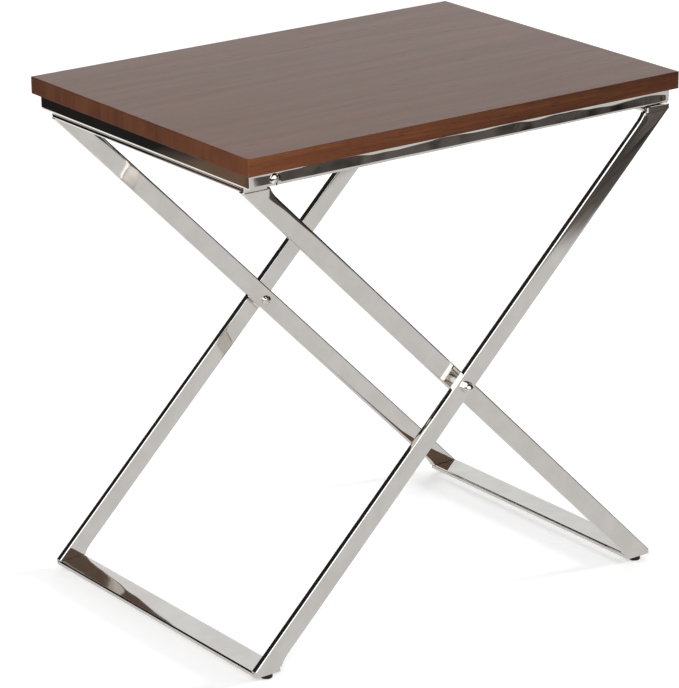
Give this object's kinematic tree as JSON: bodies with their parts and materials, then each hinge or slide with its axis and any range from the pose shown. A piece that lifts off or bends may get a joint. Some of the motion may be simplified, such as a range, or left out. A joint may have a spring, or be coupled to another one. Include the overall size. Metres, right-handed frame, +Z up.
{
  "type": "folding side table",
  "caption": "Folding side table: a flat wooden top on a polished metal ring, hinged at one end, over two crossed flat-bar frames with rubber feet.",
  "frame": {"origin": "on the floor, under the middle of the open table's top", "axes": "+Z up, +X along the top away from its hinged end, -Y to the front"},
  "size_m": [0.565, 0.4144, 0.5725],
  "materials": {
    "walnut": "stained and satin lacquered, with a fine grain along the top",
    "nickel": "polished nickel plate",
    "steel": "zinc-plated steel",
    "rubber": "matt black rubber"
  },
  "bodies": {
    "inner_frame": {"inner_leg_front": "nickel", "inner_leg_rear": "nickel", "inner_top_bar": "nickel", "inner_base_bar": "nickel", "hinge_lug_front": "nickel", "hinge_lug_rear": "nickel", "hinge_screws": "nickel", "hinge_spacers": "steel", "hinge_nuts": "steel", "pivot_bolts": "nickel", "pivot_spacers": "steel", "cap_nuts": "nickel", "inner_feet": "rubber", "inner_foot_screws": "steel"},
    "outer_frame": {"outer_leg_front": "nickel", "outer_leg_rear": "nickel", "outer_top_bar": "nickel", "outer_base_bar": "nickel", "rest_pads": "rubber", "outer_feet": "rubber", "outer_foot_screws": "steel"},
    "top": {"top_panel": "walnut", "front_rail": "nickel", "rear_rail": "nickel", "left_rail": "nickel", "right_rail": "nickel", "mounting_tabs": "steel", "tab_screws": "steel", "catch_springs": "steel", "catch_screws": "steel"}
  },
  "joints": [
    {"name": "scissor", "type": "hinge", "parent": "inner_frame", "child": "outer_frame", "pos_m": [-0.0005, 0, 0.26955], "axis": [0, 1, 0], "range_deg": [0, 84], "deforming": ["catch_springs"]},
    {"name": "top_hinge", "type": "hinge", "parent": "inner_frame", "child": "top", "pos_m": [-0.2435, 0, 0.5433], "axis": [0, 1, 0], "range_deg": [0, 42]}
  ],
  "couplings": [
    {"joint": "top_hinge", "follows": "scissor", "ratio": 0.5}
  ]
}
